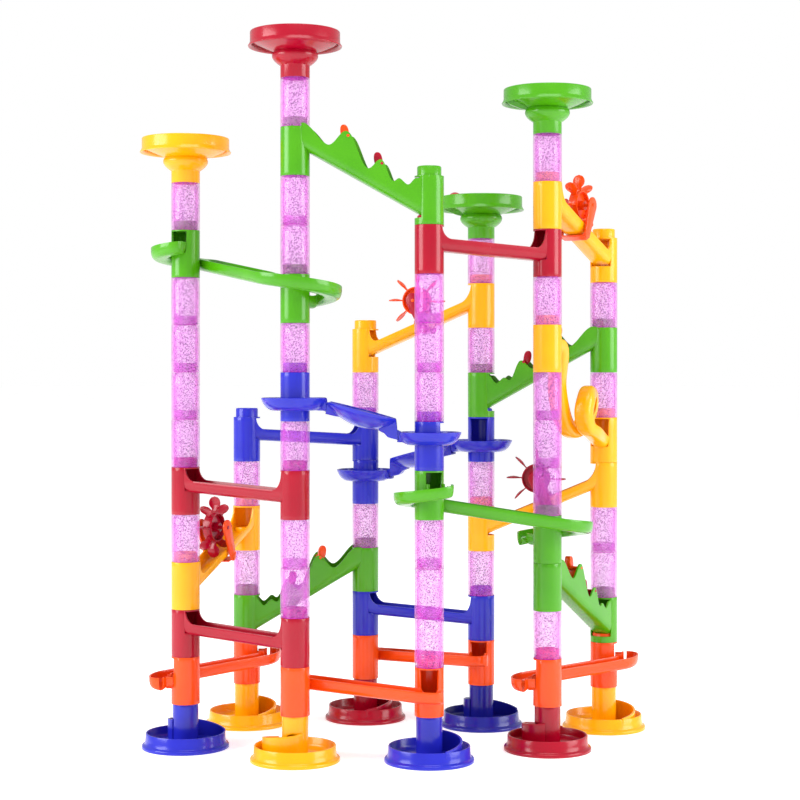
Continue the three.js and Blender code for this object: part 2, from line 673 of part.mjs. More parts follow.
const TRACKS = [
  { name: 'red_straight_a', make: straightTrack, colour: 'red', from: 3, fromLevel: 9, to: 4, toLevel: 9 },
  { name: 'red_straight_b', make: straightTrack, colour: 'red', from: 1, fromLevel: 4, to: 2, toLevel: 4 },
  { name: 'red_straight_c', make: straightTrack, colour: 'red', from: 1, fromLevel: 1, to: 2, toLevel: 1 },
  {
    name: 'blue_straight_a', make: straightTrack, colour: 'blue',
    from: 5, fromLevel: 5, to: 6, toLevel: 5, lowUnits: 2,
  },
  {
    name: 'blue_straight_b', make: straightTrack, colour: 'blue',
    from: 6, fromLevel: 1, to: 7, toLevel: 1, lowUnits: 2,
  },
  { name: 'wheel_track_a', make: wheelTrack, colour: 'yellow', from: 4, fromLevel: 10, to: 8, toLevel: 9 },
  { name: 'wheel_track_b', make: wheelTrack, colour: 'yellow', from: 7, fromLevel: 8, to: 6, toLevel: 7 },
  {
    name: 'wheel_track_c', make: wheelTrack, colour: 'yellow',
    from: 5, fromLevel: 3, to: 1, toLevel: 2, highUnits: 2,
  },
  {
    name: 'wheel_track_d', make: wheelTrack, colour: 'yellow',
    from: 8, fromLevel: 4, to: 7, toLevel: 3, lowUnits: 2,
  },
  { name: 'slalom_a', make: slalomTrack, colour: 'green', from: 2, fromLevel: 11, to: 3, toLevel: 10 },
  {
    name: 'slalom_b', make: slalomTrack, colour: 'green',
    from: 8, fromLevel: 7, to: 7, toLevel: 6, highUnits: 2, lowUnits: 2,
  },
  {
    name: 'slalom_c', make: slalomTrack, colour: 'green',
    from: 6, fromLevel: 2, to: 5, toLevel: 1, highUnits: 2, lowUnits: 2,
  },
  { name: 'slalom_d', make: slalomTrack, colour: 'green', from: 4, fromLevel: 2, to: 8, toLevel: 1 },
  {
    name: 'green_curve_a', make: curvedTrack, colour: 'green', bend: GREEN_BEND,
    from: 1, fromLevel: 9, to: 2, toLevel: 8,
  },
  {
    name: 'green_curve_b', make: curvedTrack, colour: 'green', bend: GREEN_BEND,
    from: 3, fromLevel: 4, to: 4, toLevel: 3,
  },
  {
    name: 'orange_curve_a', make: curvedTrack, colour: 'orange', bend: ORANGE_BEND,
    from: 5, fromLevel: 0, to: 1, toLevel: 0,
  },
  {
    name: 'orange_curve_b', make: curvedTrack, colour: 'orange', bend: ORANGE_BEND,
    from: 8, fromLevel: 0, to: 4, toLevel: 0,
  },
  {
    name: 'orange_wavy_a', make: curvedTrack, colour: 'orange', bend: WAVY_BEND,
    from: 2, fromLevel: 0, to: 3, toLevel: 0,
  },
  {
    name: 'orange_wavy_b', make: curvedTrack, colour: 'orange', bend: WAVY_BEND,
    from: 7, fromLevel: 0, to: 6, toLevel: 0,
  },
  { name: 'dish_track_a', make: dishTrack, colour: 'blue', from: 2, fromLevel: 6, to: 3, toLevel: 5 },
  { name: 'dish_track_b', make: dishTrack, colour: 'blue', from: 7, fromLevel: 5, to: 6, toLevel: 4 },
  {
    name: 'loop_track', make: loopTrack, colour: 'yellow',
    from: 4, fromLevel: 7, to: 8, toLevel: 5, lowUnits: 2,
  },
];

// A moving piece is modelled about its own pin and then set over the run of its track.
function putOnPin(name, moving, colour, spec) {
  const { body, place, lift } = moving;
  const origin = TOWER[spec.from];
  const z = levelZ(spec.fromLevel) + place.floor + lift;
  put(name, body, colour, origin.x + place.at.x, origin.y + place.at.y, z);
  run.children[run.children.length - 1].rotation.z = rad(place.direction);
}

const WHEEL_COLOURS = { a: 'orange', b: 'orange', c: 'red', d: 'red' };
for (const spec of TRACKS) {
  putAt(spec.name, spec.make(spec), spec.colour, spec.from, levelZ(spec.fromLevel));
  const letter = spec.name.slice(-1);
  if (spec.make === wheelTrack) {
    putOnPin(`wheel_${letter}`, wheel(spec), WHEEL_COLOURS[letter], spec);
  }
  if (spec.make === slalomTrack) {
    for (const [which, kind] of Object.entries(FLAPS)) {
      putOnPin(`flap_${letter}_${which}`, flap(spec, kind), kind.colour, spec);
    }
  }
}

const MARBLE_R = 8;
const MARBLE_REST = 35.5;    // the funnel's slope under the marble, over the tube's top
const marbleSpot = polar(33, 205);
const marble = solid(new THREE.IcosahedronGeometry(MARBLE_R, 1));
const marbleZ = levelZ(9) + PITCH + MARBLE_REST + MARBLE_R;
put('marble', marble, 'red', TOWER[7].x + marbleSpot.x, TOWER[7].y + marbleSpot.y, marbleZ);

// The towers' plan is centred, so that the origin lies under the middle of the object.
const extent = new THREE.Box3().setFromObject(run);
const middle = extent.getCenter(new THREE.Vector3());
run.position.set(-middle.x, -middle.y, 0);

export default run;
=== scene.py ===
# %% [markdown]
# A marble run, built piece by piece.
#
# Eight towers of stacked units stand in a ring. Twenty-two tracks hang between them, and a
# marble dropped into a funnel rolls from tower to tower down to a tray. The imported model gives
# every place and every moving part, so this file only has to make each piece look right.

# %% Load the frame
import json
import math

import bmesh
import bpy
import numpy as np
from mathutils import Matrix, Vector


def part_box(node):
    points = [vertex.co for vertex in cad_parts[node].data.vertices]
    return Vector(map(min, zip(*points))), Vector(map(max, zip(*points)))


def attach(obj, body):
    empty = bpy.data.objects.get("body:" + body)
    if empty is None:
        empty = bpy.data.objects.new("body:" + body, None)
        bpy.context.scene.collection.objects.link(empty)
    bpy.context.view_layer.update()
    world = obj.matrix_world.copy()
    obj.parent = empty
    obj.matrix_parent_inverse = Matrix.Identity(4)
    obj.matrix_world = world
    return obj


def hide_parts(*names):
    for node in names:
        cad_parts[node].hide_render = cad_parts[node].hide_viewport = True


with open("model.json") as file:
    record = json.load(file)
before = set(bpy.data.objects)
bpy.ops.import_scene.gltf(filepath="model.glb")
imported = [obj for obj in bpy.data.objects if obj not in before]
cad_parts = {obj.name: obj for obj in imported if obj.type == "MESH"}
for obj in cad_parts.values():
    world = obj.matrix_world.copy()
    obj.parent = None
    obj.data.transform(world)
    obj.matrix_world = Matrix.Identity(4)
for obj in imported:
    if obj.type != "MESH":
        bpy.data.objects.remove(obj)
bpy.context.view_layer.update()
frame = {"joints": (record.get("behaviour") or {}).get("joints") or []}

# %% [markdown]
# The camera comes first, because it decides which details are worth making. The towers are
# seen from a level eye a little above half their height, through a long lens from almost two
# metres away. The small shift lowers the frame without tilting it, so uprights stay upright.

# %% Camera
EYE_HEIGHT = 0.394
EYE_DISTANCE = 1.917
camera = bpy.data.cameras.new("camera")
camera.sensor_width = 36
camera.lens = 79.6
camera.shift_y = -0.032
eye = bpy.data.objects.new("camera", camera)
eye.location = (0.0007, -EYE_DISTANCE, EYE_HEIGHT)
eye.rotation_euler = (math.pi / 2, 0, 0)
bpy.context.collection.objects.link(eye)
bpy.context.scene.camera = eye
print("camera", tuple(eye.location), "lens", camera.lens)

# %% [markdown]
# The stage is a pale floor under an even white sky, the plainest setting for glossy plastic.
# Three broad lamps, one on each side and one above, add the long soft highlights that run down
# tubes and rims. A bright sky alone lights all sides alike, and gloss would vanish, so the sky
# that lights the model is dimmer than the white that shows behind it.
# The standard view keeps toy colours as strong as they are; a filmic one would grey them.

# %% Stage and light
FLOOR_SIZE = 120.0
SKY = 0.62
BACKDROP = 1.0


def flat_material(name, colour, rough, glow):
    """A plain surface for the stage, which isn't part of the object."""
    made = bpy.data.materials.new(name)
    made.use_nodes = True
    shader = made.node_tree.nodes["Principled BSDF"]
    shader.inputs["Base Color"].default_value = (*colour, 1)
    shader.inputs["Roughness"].default_value = rough
    shader.inputs["Emission Color"].default_value = (1, 1, 1, 1)
    shader.inputs["Emission Strength"].default_value = glow
    return made


ground = bpy.data.meshes.new("floor")
corner = FLOOR_SIZE / 2
ground.from_pydata(
    [(-corner, -corner, -0.0003), (corner, -corner, -0.0003),
     (corner, corner, -0.0003), (-corner, corner, -0.0003)],
    [], [(0, 1, 2, 3)])
ground.materials.append(flat_material("pale_floor", (0.97, 0.97, 0.97), 0.8, 0.40))
floor = bpy.data.objects.new("floor", ground)
bpy.context.collection.objects.link(floor)

world = bpy.data.worlds.new("studio")
world.use_nodes = True
sky_nodes, sky_links = world.node_tree.nodes, world.node_tree.links
sky_nodes["Background"].inputs["Color"].default_value = (1, 1, 1, 1)
seen = sky_nodes.new("ShaderNodeLightPath")
strength = sky_nodes.new("ShaderNodeMapRange")
strength.inputs["To Min"].default_value = SKY
strength.inputs["To Max"].default_value = BACKDROP
sky_links.new(seen.outputs["Is Camera Ray"], strength.inputs["Value"])
sky_links.new(strength.outputs["Result"], sky_nodes["Background"].inputs["Strength"])
bpy.context.scene.world = world
bpy.context.scene.view_settings.view_transform = "Standard"


def softbox(name, place, target, size, power):
    """A square area lamp that faces a point."""
    lamp = bpy.data.lights.new(name, "AREA")
    lamp.size = size
    lamp.energy = power
    holder = bpy.data.objects.new(name, lamp)
    holder.location = place
    away = np.subtract(target, place)
    holder.rotation_euler = (
        math.atan2(math.hypot(away[0], away[1]), -away[2]), 0, math.atan2(away[0], -away[1]) + math.pi)
    bpy.context.collection.objects.link(holder)


softbox("key", (-2.2, -0.9, 1.2), (0, 0, 0.4), 1.5, 48)
softbox("fill", (2.3, -0.7, 1.0), (0, 0, 0.4), 1.5, 38)
softbox("top", (0.2, -0.9, 2.6), (0, 0, 0.2), 1.5, 26)
print("sky", SKY, "and three softboxes")

# %% [markdown]
# Everything hangs on a few measures. A stacked unit adds 50 mm, each tower's axis is the middle
# of its round base, and a track's own coordinates run from its upper tower to its lower one.
# Shapes are worked out in millimetres and turned into metres once, as the mesh is made.

# %% Measures
MM = 0.001
PITCH = 50.0
BASE_TOP = 46.0
TUBE_R = 15.0
SPIGOT_R = 12.4
SPIGOT_H = 10.0
PLAY = 0.3

AXES = {}
for number in range(1, 9):
    low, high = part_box(f"base_{number}")
    AXES[number] = np.array([(low.x + high.x) / 2, (low.y + high.y) / 2]) / MM
    print("tower", number, AXES[number].round(1))


def level_z(level):
    """Height in millimetres at which the unit on this level stands."""
    return BASE_TOP + PITCH * level


def heading(start, end):
    """Direction in radians, and distance, from one tower's axis to another's."""
    across = AXES[end] - AXES[start]
    return math.atan2(across[1], across[0]), float(np.hypot(*across))


# %% [markdown]
# A mesh is only points and faces. Each shape below is a grid of points from a formula, so its
# faces follow from counting: every cell joins a point to its three neighbours. A sheet becomes
# a wall by copying it along its own normals and joining the edges. A grid keeps the whole
# surface as a few numpy arrays, where a modelling tool would need many separate steps.

# %% Grids, walls and pieces


def cells(rows, cols, rows_closed=False, cols_closed=False):
    """Corner numbers of every cell of a grid; a closed direction joins its end to its start."""
    r = np.arange(rows if rows_closed else rows - 1)
    c = np.arange(cols if cols_closed else cols - 1)
    r, c = np.meshgrid(r, c, indexing="ij")
    up, over = (r + 1) % rows, (c + 1) % cols
    corners = [r * cols + c, r * cols + over, up * cols + over, up * cols + c]
    return np.stack(corners, -1).reshape(-1, 4)


def outward(points, faces):
    """The faces turned to look out. The signed volume, a . (b x c) over all of them, is then positive."""
    a, b, c, d = (points[faces[:, i]] for i in range(4))
    volume = np.sum(a * np.cross(b, c)) + np.sum(a * np.cross(c, d))
    return points, faces if volume > 0 else faces[:, ::-1]


def body_of(grid, rows_closed=False):
    """A closed body from a grid that already meets itself or ends in points."""
    rows, cols = grid.shape[:2]
    return outward(grid.reshape(-1, 3), cells(rows, cols, rows_closed, True))


def wall(sheet, thick, around=False):
    """A sheet with thickness: point + thick * normal, where the normal is the cross product
    of the two grid directions. `around` says that the columns close on themselves."""
    down = np.gradient(sheet, axis=0)
    across = np.gradient(sheet, axis=1)
    if around:
        across = (np.roll(sheet, -1, axis=1) - np.roll(sheet, 1, axis=1)) / 2
    normal = np.cross(down, across)
    normal /= np.maximum(np.linalg.norm(normal, axis=-1, keepdims=True), 1e-9)
    other = sheet + thick * normal
    if around:
        return body_of(np.concatenate([sheet, other[::-1]], axis=0), rows_closed=True)
    grid = np.concatenate([sheet, other[:, ::-1]], axis=1)
    rows, cols = grid.shape[:2]
    skin = cells(rows, cols, cols_closed=True)
    j = np.arange(cols // 2 - 1)
    end = np.stack([j, cols - 1 - j, cols - 2 - j, j + 1], -1)
    last = (rows - 1) * cols + end[:, ::-1]
    return outward(grid.reshape(-1, 3), np.concatenate([skin, end, last]))


def turned(profile, sides=72, closed=True):
    """A profile of (radius, height) carried round z: x = r cos a, y = r sin a, z = height.
    An open profile starts and ends on the axis."""
    profile = np.asarray(profile, float)
    a = np.linspace(0, 2 * np.pi, sides, endpoint=False)
    radius, height = profile[:, :1], np.repeat(profile[:, 1:], sides, axis=1)
    grid = np.stack([radius * np.cos(a), radius * np.sin(a), height], -1)
    return body_of(grid, rows_closed=closed)


def slab(edge, low, high):
    """A flat plate: an outline of (x, y) points, filled towards its middle at two heights."""
    edge = np.asarray(edge, float)
    hub = np.repeat(edge.mean(0, keepdims=True), len(edge), axis=0)
    rows = [np.column_stack([ring, np.full(len(edge), z)])
            for ring, z in ((hub, low), (edge, low), (edge, high), (hub, high))]
    return body_of(np.stack(rows))


def stood(parts, at, z=0.0, turn=0.0):
    """Parts turned about z and moved to a place: the rotation matrix times x, y, plus the place."""
    spin = np.array([[math.cos(turn), math.sin(turn)], [-math.sin(turn), math.cos(turn)]])
    moved = []
    for points, faces in parts:
        flat = points[:, :2] @ spin + np.asarray(at, float)
        moved.append((np.column_stack([flat, points[:, 2] + z]), faces))
    return moved


def make(name, parts, finish, node=None, body="frame", round_edge=0.35):
    """One Blender object from several closed parts, riding on a body and standing for a node."""
    starts = np.cumsum([0] + [len(points) for points, _ in parts[:-1]])
    points = np.concatenate([points for points, _ in parts]) * MM
    faces = np.concatenate([faces + start for (_, faces), start in zip(parts, starts)])
    mesh = bpy.data.meshes.new(name)
    mesh.from_pydata(points.tolist(), [], faces.tolist())
    tidy = bmesh.new()
    tidy.from_mesh(mesh)
    bmesh.ops.remove_doubles(tidy, verts=tidy.verts, dist=2e-6)
    tidy.to_mesh(mesh)
    tidy.free()
    mesh.polygons.foreach_set("use_smooth", np.ones(len(mesh.polygons), bool))
    mesh.materials.append(finish)
    made = bpy.data.objects.new(name, mesh)
    bpy.context.collection.objects.link(made)
    if round_edge:
        soft = made.modifiers.new("round_edges", "BEVEL")
        soft.width = round_edge * MM
        soft.segments = 2
        soft.limit_method = "ANGLE"
        soft.angle_limit = math.radians(45)
    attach(made, body)
    if node:
        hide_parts(node)
    return made


# %% [markdown]
# The solid pieces are glossy moulded plastic. Real moulding is never one flat colour: it flows
# a little lighter and darker, its gloss varies, and very fine ripples bend the highlights. Three
# noise patterns give those three things. Painting a texture would look sharper close up, but
# noise on the object's own coordinates costs nothing and has no seams.

# %% Plastic


def linear(*screen):
    """Screen colour, 0 to 255, as the linear light that a shader needs."""
    c = np.asarray(screen, float) / 255
    return tuple(np.where(c <= 0.04045, c / 12.92, ((c + 0.055) / 1.055) ** 2.4))


def noise(nodes, links, scale, detail):
    """A cloudy pattern on the object's own coordinates."""
    where = nodes.new("ShaderNodeTexCoord")
    cloud = nodes.new("ShaderNodeTexNoise")
    cloud.inputs["Scale"].default_value = scale
    cloud.inputs["Detail"].default_value = detail
    links.new(where.outputs["Object"], cloud.inputs["Vector"])
    return cloud.outputs["Fac"]


def plastic(name, colour, deeper):
    """Glossy moulded plastic that drifts between two close tones."""
    made = bpy.data.materials.new(name)
    made.use_nodes = True
    nodes, links = made.node_tree.nodes, made.node_tree.links
    shader = nodes["Principled BSDF"]
    tone = nodes.new("ShaderNodeMix")
    tone.data_type = "RGBA"
    tone.inputs["A"].default_value = (*linear(*colour), 1)
    tone.inputs["B"].default_value = (*linear(*deeper), 1)
    links.new(noise(nodes, links, 22, 3), tone.inputs["Factor"])
    links.new(tone.outputs["Result"], shader.inputs["Base Color"])
    gloss = nodes.new("ShaderNodeMapRange")
    gloss.inputs["To Min"].default_value = 0.16
    gloss.inputs["To Max"].default_value = 0.30
    links.new(noise(nodes, links, 60, 2), gloss.inputs["Value"])
    links.new(gloss.outputs["Result"], shader.inputs["Roughness"])
    ripple = nodes.new("ShaderNodeBump")
    ripple.inputs["Strength"].default_value = 0.12
    ripple.inputs["Distance"].default_value = 0.0003
    links.new(noise(nodes, links, 260, 2), ripple.inputs["Height"])
    links.new(ripple.outputs["Normal"], shader.inputs["Normal"])
    shader.inputs["Specular IOR Level"].default_value = 0.36
    shader.inputs["Coat Weight"].default_value = 0.15
    shader.inputs["Coat Roughness"].default_value = 0.05
    return made


PLASTIC = {
    "red": plastic("crimson_plastic", (178, 0, 38), (150, 0, 30)),
    "yellow": plastic("yellow_plastic", (255, 184, 4), (246, 160, 0)),
    "orange": plastic("orange_plastic", (250, 84, 8), (232, 66, 4)),
    "green": plastic("lime_plastic", (84, 170, 12), (62, 146, 6)),
    "blue": plastic("blue_plastic", (42, 48, 200), (28, 32, 168)),
    "navy": plastic("dark_blue_plastic", (30, 34, 160), (18, 22, 126)),
}
print(len(PLASTIC), "plastics")

# %% [markdown]
# The tubes are clear pink plastic with glitter. Looking square through the wall it is pale;
# towards its edge the eye looks through more plastic and the pink deepens, and a thin dark line
# shows where one tube meets the next. Real glass shading would refract everything behind, which
# a thin tube hardly does, so the wall is part see-through instead and gets more solid edge-on.

# %% Clear pink with glitter


def clear_pink():
    """Pale pink, see-through, deeper edge-on and at the joints, with small specks in it."""
    made = bpy.data.materials.new("clear_pink_glitter")
    made.use_nodes = True
    nodes, links = made.node_tree.nodes, made.node_tree.links
    shader = nodes["Principled BSDF"]
    edge = nodes.new("ShaderNodeLayerWeight")
    edge.inputs["Blend"].default_value = 0.32
    height = nodes.new("ShaderNodeAttribute")
    height.attribute_name = "height"
    joint = nodes.new("ShaderNodeMapRange")
    joint.inputs["From Min"].default_value = 0.022
    joint.inputs["From Max"].default_value = 0.010
    links.new(height.outputs["Fac"], joint.inputs["Value"])
    where = nodes.new("ShaderNodeTexCoord")
    flakes = nodes.new("ShaderNodeTexVoronoi")
    flakes.inputs["Scale"].default_value = 460
    links.new(where.outputs["Object"], flakes.inputs["Vector"])
    speck = nodes.new("ShaderNodeMapRange")
    speck.inputs["From Min"].default_value = 0.36
    speck.inputs["From Max"].default_value = 0.28
    links.new(flakes.outputs["Distance"], speck.inputs["Value"])
    deep = nodes.new("ShaderNodeMath")
    deep.operation = "MAXIMUM"
    links.new(edge.outputs["Facing"], deep.inputs[0])
    links.new(joint.outputs["Result"], deep.inputs[1])
    body = nodes.new("ShaderNodeMix")
    body.data_type = "RGBA"
    body.inputs["A"].default_value = (*linear(250, 112, 252), 1)
    body.inputs["B"].default_value = (*linear(224, 44, 206), 1)
    links.new(deep.outputs[0], body.inputs["Factor"])
    glitter = nodes.new("ShaderNodeMix")
    glitter.data_type = "RGBA"
    glitter.inputs["B"].default_value = (*linear(120, 20, 130), 1)
    links.new(body.outputs["Result"], glitter.inputs["A"])
    links.new(speck.outputs["Result"], glitter.inputs["Factor"])
    links.new(glitter.outputs["Result"], shader.inputs["Base Color"])
    cover = nodes.new("ShaderNodeMapRange")
    cover.inputs["To Min"].default_value = 0.17
    cover.inputs["To Max"].default_value = 0.62
    thicker = nodes.new("ShaderNodeMath")
    thicker.operation = "MAXIMUM"
    links.new(deep.outputs[0], thicker.inputs[0])
    links.new(speck.outputs["Result"], thicker.inputs[1])
    links.new(thicker.outputs[0], cover.inputs["Value"])
    links.new(cover.outputs["Result"], shader.inputs["Alpha"])
    shader.inputs["Roughness"].default_value = 0.06
    shader.inputs["Specular IOR Level"].default_value = 0.7
    shader.inputs["Coat Weight"].default_value = 0.5
    return made


PINK = clear_pink()

# %% [markdown]
# A tube is one profile turned round an axis: a straight wall, a shoulder, and a narrower spigot
# that plugs into the unit above. The bore follows the same steps inside. The attribute "height"
# runs from 0 at its foot to 1 at its shoulder and tells the material where the joints are.

# %% Clear tubes
TUBES = {
    1: [3, 5, 6, 7, 8, 10], 2: [2, 3, 5, 7, 9, 10, 12], 3: [1, 2, 3, 6, 7, 8],
    4: [1, 4, 5, 6, 8, 11], 5: [2, 4], 6: [3, 6], 7: [2, 4, 7, 9], 8: [2, 3, 6, 8],
}
TUBE_NODES = {
    (1, 3): "tubes_1_3", (1, 5): "tubes_1_5", (2, 2): "tubes_2_2", (2, 5): "tubes_2_5",
    (2, 7): "tubes_2_7", (2, 9): "tubes_2_9", (3, 1): "tubes_3_1", (3, 6): "tubes_3_6",
    (4, 1): "tubes_4_1", (4, 4): "tubes_4_4", (4, 8): "tubes_4_8", (8, 2): "tubes_8_2",
}
TUBE_PROFILE = [
    (TUBE_R, PLAY), (TUBE_R, 12), (TUBE_R, 25), (TUBE_R, 38), (TUBE_R, PITCH),
    (SPIGOT_R, PITCH + 0.2), (SPIGOT_R, PITCH + SPIGOT_H - 1), (SPIGOT_R - 0.8, PITCH + SPIGOT_H),
    (10.8, PITCH + SPIGOT_H), (10.8, PITCH), (12.8, PITCH - 3), (12.8, 25), (12.8, PLAY),
]


def mark_height(made, foot):
    """Stores (z - foot) / pitch at every point, for the material to read."""
    mesh = made.data
    z = np.empty(len(mesh.vertices) * 3, np.float32)
    mesh.vertices.foreach_get("co", z)
    mark = mesh.attributes.new("height", "FLOAT", "POINT")
    mark.data.foreach_set("value", ((z[2::3] / MM - foot) / PITCH).astype(np.float32))


tube_count = 0
for tower, levels in TUBES.items():
    for level in levels:
        foot = level_z(level)
        made = make(f"tube_{tower}_{level}", stood([turned(TUBE_PROFILE, 56)], AXES[tower], foot),
                    PINK, TUBE_NODES.get((tower, level)), round_edge=0)
        mark_height(made, foot)
        tube_count += 1
print(tube_count, "clear tubes")

# %% [markdown]
# Every track ends in a coupler, a tube length in the track's own colour with one side cut away
# where the marble passes. Its wall is a grid in angle and height whose top edge drops down to
# the trough's floor inside the window. Cutting the window with a boolean would work too, but it
# leaves ragged faces, where a grid with a shaped edge stays clean.

# %% Couplers


def angle_gap(a, b):
    """Unsigned angle between two directions, in radians."""
    return np.abs((a - b + np.pi) % (2 * np.pi) - np.pi)


def spigot(top, outer=TUBE_R):
    """The shoulder and the plug above it, as one turned ring."""
    return turned([
        (outer, top - 1.5), (outer, top), (SPIGOT_R, top + 0.2), (SPIGOT_R, top + SPIGOT_H - 1),
        (SPIGOT_R - 0.8, top + SPIGOT_H), (10.8, top + SPIGOT_H), (10.8, top - 1.5),
    ], 64)


def coupler(window, floor_z, half=60, closed=True):
    """Wall of radius 15: z runs from the foot up to an edge that is at the shoulder, and drops
    to the trough's floor where the angle is within `half` degrees of the window."""
    a = np.linspace(0, 2 * np.pi, 144, endpoint=False)
    gap = np.degrees(angle_gap(a, math.radians(window)))
    open_part = np.clip((half + 2 - gap) / 3, 0, 1)
    top = PITCH - (PITCH - floor_z) * open_part
    v = np.linspace(0, 1, 12)[:, None]
    z = PLAY + v * (top - PLAY)
    sheet = np.stack([TUBE_R * np.cos(a) + 0 * z, TUBE_R * np.sin(a) + 0 * z, z], -1)
    parts = [wall(sheet, 1.9, around=True), spigot(PITCH)]
    if closed:
        parts.append(turned([(0, floor_z - 2), (13.4, floor_z - 2), (13.4, floor_z), (0, floor_z)], 48,
                            closed=False))
    return parts


# %% [markdown]
# A trough is a rounded channel carried along a path. Its cross-section is half of a squared-off
# ellipse, so the underside is round but the walls stand straight, and each rim has its own height
# along the way. That one idea makes the straight, sloping, wavy and curving tracks alike.

# %% Troughs
RIM = 11.0
OUTER_H = 13.0
WALL_T = 1.8
DEPTHS = (24, 32)           # floor below the coupler's top, at the upper and lower tower
SLALOM_DEPTHS = (16, 43)
DISH_DEPTHS = (37, 22)


def section(count=25, squareness=3.2):
    """Across and down, from left rim to right rim: side = |cos|^(2/s), depth = |sin|^(2/s)."""
    a = np.linspace(0, np.pi, count)
    side = np.sign(np.cos(a)) * np.abs(np.cos(a)) ** (2 / squareness)
    return side, np.abs(np.sin(a)) ** (2 / squareness)


def trough(path, floor_z, left, right, half):
    """The section carried along a level path: point = path + side * normal, and z is the
    floor's height plus the section's. `left` and `right` are rim heights over the floor."""
    ahead = np.gradient(path, axis=0)
    ahead /= np.linalg.norm(ahead, axis=1, keepdims=True)
    sideways = np.column_stack([-ahead[:, 1], ahead[:, 0]])
    side, depth = section()
    rise = np.linspace(1, 0, 6)[:-1]
    reach = np.concatenate([np.ones(5), side, -np.ones(5)])
    base = floor_z[:, None]
    up_left = RIM + (np.maximum(left, RIM) - RIM)[:, None] * rise
    up_right = RIM + (np.maximum(right, RIM) - RIM)[:, None] * rise[::-1]
    round_part = np.repeat((OUTER_H * (1 - depth) - 2)[None], len(path), axis=0)
    height = np.concatenate([up_left, round_part, up_right], axis=1)
    limit = np.where(reach[None] > 0, left[:, None], right[:, None])
    height = np.minimum(height, limit)
    half = np.broadcast_to(half, (len(path),))[:, None]
    flat = path[:, None, :] + sideways[:, None, :] * (half * reach)[..., None]
    sheet = np.concatenate([flat, (base + height)[..., None]], -1)
    return wall(sheet, -WALL_T)


def fillet(distance, start, width):
    """1 at the coupler, falling along a quarter circle to 0: 1 - sqrt(1 - (1 - q)^2)."""
    q = np.clip((distance - start) / width, 0, 1)
    return 1 - np.sqrt(np.maximum(1 - (1 - q) ** 2, 0))


def straight_body(link, drop, depths=DEPTHS, shape=None, shift=0.0):
    """Two couplers and the trough between them. `shape` gives a rim height along the run."""
    run = np.linspace(6, link - 6, 150)
    high_floor, low_floor = PITCH - depths[0], drop + PITCH - depths[1]
    floor_z = high_floor + (low_floor - high_floor) * run / link
    plain = np.full_like(run, RIM)
    near = plain if shape is None else shape(run / link)
    far = plain if shape is None else shape(run / link - shift)
    to_high, to_low = PITCH - floor_z, drop + PITCH - floor_z
    up = fillet(run, 8.5, 11)
    down = fillet(link - run, 8.5, 11)
    rims = [rim + (np.maximum(to_high, rim) - rim) * up + (np.maximum(to_low, rim) - rim) * down
            for rim in (far, near)]
    path = np.column_stack([run, 0 * run])
    lower = stood(coupler(180, PITCH - depths[1], closed=False), (link, 0), drop)
    return coupler(0, high_floor) + lower + [trough(path, floor_z, rims[0], rims[1], 13.0)]


def place_track(name, parts, colour, start, end, level):
    """Turns a track from its own coordinates to the heading between its towers."""
    direction, _ = heading(start, end)
    parts = stood(parts, AXES[start], level_z(level), direction)
    return make(name, parts, PLASTIC[colour], name)


# %% [markdown]
# The five level links are the plainest tracks, three crimson and two blue. They fall only enough
# to keep a marble rolling. Their rims sweep up to the couplers in a round fillet at both ends.

# %% Straight tracks
STRAIGHTS = {
    "red_straight_a": (3, 4, 9), "red_straight_b": (1, 2, 4), "red_straight_c": (1, 2, 1),
    "blue_straight_a": (5, 6, 5), "blue_straight_b": (6, 7, 1),
}
for name, (start, end, level) in STRAIGHTS.items():
    link = heading(start, end)[1]
    place_track(name, straight_body(link, 0), name.split("_")[0], start, end, level)
print(len(STRAIGHTS), "straight tracks")

# %% [markdown]
# A wheel track drops a whole level, and a clip on it carries a paddle wheel over the channel. The
# clip is a strap under the trough with a teardrop plate on either side, round at the axle and
# narrow at the foot. The outline is the hull of two circles: each direction picks the circle
# that reaches further.

# %% Wheel tracks and their clips
WHEELS = {
    "a": (4, 8, 10, "orange", "orange"), "b": (7, 6, 8, "red", "orange"),
    "c": (5, 1, 3, "orange", "red"), "d": (8, 7, 4, "red", "red"),
}
AXLE_LIFT = 34.5             # axle over the floor, square to the slope
JOINTS = {joint["child"]: joint for joint in frame["joints"]}


def teardrop(foot, big, small, count=48):
    """Hull of a circle at the origin and a smaller one at `foot`."""
    a = np.linspace(0, 2 * np.pi, count, endpoint=False)
    out = np.column_stack([np.cos(a), np.sin(a)])
    far = out @ np.asarray(foot, float) + small > big
    return np.where(far[:, None], np.asarray(foot) + small * out, big * out)


def clip(foot, slope):
    """Two teardrop plates and the strap that joins them under the trough, axle at the origin.
    The strap falls with the trough: z = strap - tan(slope) x."""
    plate = teardrop(foot, 8.4, 5.6)
    parts = []
    for side in (-1, 1):
        points, faces = slab(plate, 15.0, 17.0)
        points = np.column_stack([points[:, 0], side * points[:, 2], points[:, 1]])
        parts.append(outward(points, faces))
    strap = np.array([(-16, 2), (-15.6, -1.6), (-13, -3.4), (0, -3.8), (13, -3.4), (15.6, -1.6), (16, 2)])
    width = np.linspace(-5.2, 5.2, 7)
    sheet = np.stack([
        foot[0] + np.repeat(width[None], len(strap), axis=0),
        np.repeat(strap[:, :1], width.size, axis=1),
        foot[1] + strap[:, 1:] - math.tan(slope) * width], -1)
    parts.append(wall(sheet, 1.4))
    return parts


